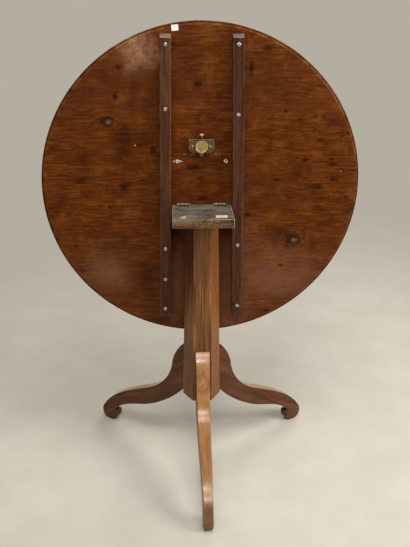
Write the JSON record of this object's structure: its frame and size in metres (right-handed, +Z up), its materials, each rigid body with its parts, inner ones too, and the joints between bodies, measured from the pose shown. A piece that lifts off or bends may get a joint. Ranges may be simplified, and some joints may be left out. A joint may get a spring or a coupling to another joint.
{
  "type": "tilt-top pedestal table",
  "caption": "Round tilt-top table on a tapered hexagonal column with scroll-footed legs; the top hinges from level to upright and a sprung catch holds it level.",
  "frame": {"origin": "on the floor, under the axis of the column", "axes": "+Z up; -Y to the front, along the front leg and towards the underside of the raised top; +X to the right"},
  "size_m": [0.8, 0.5551, 1.1542],
  "materials": {
    "base_wood": "waxed, worn",
    "block_wood": "bare, dirty",
    "top_wood": "polished",
    "batten_wood": "stained",
    "dark_iron": "aged",
    "steel": "bright",
    "brass": "tarnished"
  },
  "bodies": {
    "base": {"column": "base_wood", "tenon_wedge": "block_wood", "tilt_block": "block_wood", "leg_front": "base_wood", "leg_left": "base_wood", "leg_right": "base_wood", "hinge_left_block_leaf": "dark_iron", "hinge_right_block_leaf": "dark_iron", "hinge_left_pin": "dark_iron", "hinge_right_pin": "dark_iron", "hinge_block_screws": "steel", "strike_plate": "brass", "strike_screws": "brass"},
    "top": {"top_board_1": "top_wood", "top_board_2": "top_wood", "top_board_3": "top_wood", "top_board_4": "top_wood", "batten_left": "batten_wood", "batten_right": "batten_wood", "batten_screws_left": "steel", "batten_screws_right": "steel", "hinge_left_top_leaf": "dark_iron", "hinge_right_top_leaf": "dark_iron", "hinge_top_screws": "steel", "catch_plate": "brass", "catch_case": "brass", "catch_screws": "brass", "catch_spring": "steel", "buffer_tacks": "steel"},
    "catch": {"catch_bolt": "brass", "catch_knob": "brass"}
  },
  "joints": [
    {"name": "top_tilt", "type": "hinge", "parent": "base", "child": "top", "pos_m": [0, 0.04363, 0.7106], "axis": [1, 0, 0], "range_deg": [0, 90]},
    {"name": "catch_draw", "type": "slide", "parent": "top", "child": "catch", "axis": [0, 0, 1], "range_m": [0, 0.008], "stiffness_N_per_m": 400, "springref_m": -0.004, "deforming": ["catch_spring"]}
  ]
}
